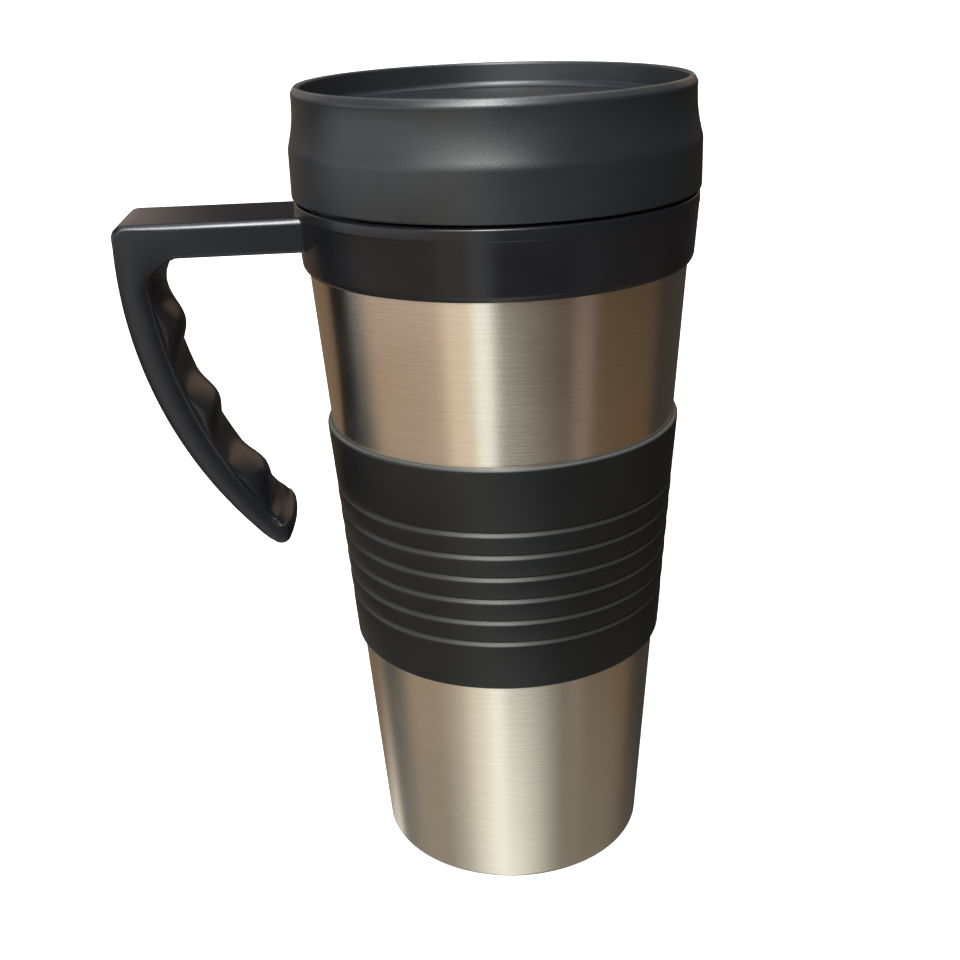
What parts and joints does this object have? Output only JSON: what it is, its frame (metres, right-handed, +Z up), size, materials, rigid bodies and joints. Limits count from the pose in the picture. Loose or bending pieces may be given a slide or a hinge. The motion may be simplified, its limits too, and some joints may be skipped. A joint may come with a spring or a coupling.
{
  "type": "insulated travel mug",
  "caption": "Tall tapered travel mug: brushed steel shell, black collar with finger-grip handle, grooved rubber band, screw-on lid with sliding shutter.",
  "frame": {"origin": "centre of the flat underside, on the mug's axis", "axes": "+Z up along the mug's axis, -X towards the handle, -Y towards the drinking slot"},
  "size_m": [0.1316, 0.0926, 0.19],
  "materials": {
    "brushed_steel": "brushed round the mug",
    "black_plastic": "semi-gloss moulded",
    "lid_plastic": "fine matt moulded",
    "liner_plastic": "smooth moulded",
    "grip_rubber": "matt",
    "seal_silicone": "satin silicone"
  },
  "bodies": {
    "mug": {"outer_shell": "brushed_steel", "base_plug": "black_plastic", "inner_liner": "liner_plastic", "grip_band": "grip_rubber", "collar_handle": "black_plastic"},
    "seal": {"seal_ring": "seal_silicone"},
    "lid": {"lid_rim": "lid_plastic", "lid_deck": "lid_plastic", "lid_plug": "lid_plastic"},
    "shutter": {"thumb_shutter": "lid_plastic", "shutter_pad": "seal_silicone", "shutter_clip": "lid_plastic"}
  },
  "joints": [
    {"name": "lid_lift", "type": "slide", "parent": "mug", "child": "seal", "axis": [0, 0, 1], "range_m": [0, 0.018]},
    {"name": "lid_turn", "type": "hinge", "parent": "seal", "child": "lid", "pos_m": [0, 0, 0.184], "axis": [0, 0, 1], "range_deg": [0, 540]},
    {"name": "shutter_slide", "type": "slide", "parent": "lid", "child": "shutter", "axis": [0, 1, 0], "range_m": [0, 0.01]}
  ],
  "couplings": [
    {"joint": "lid_lift", "follows": "lid_turn", "m_per_rad": 0.0019098}
  ]
}
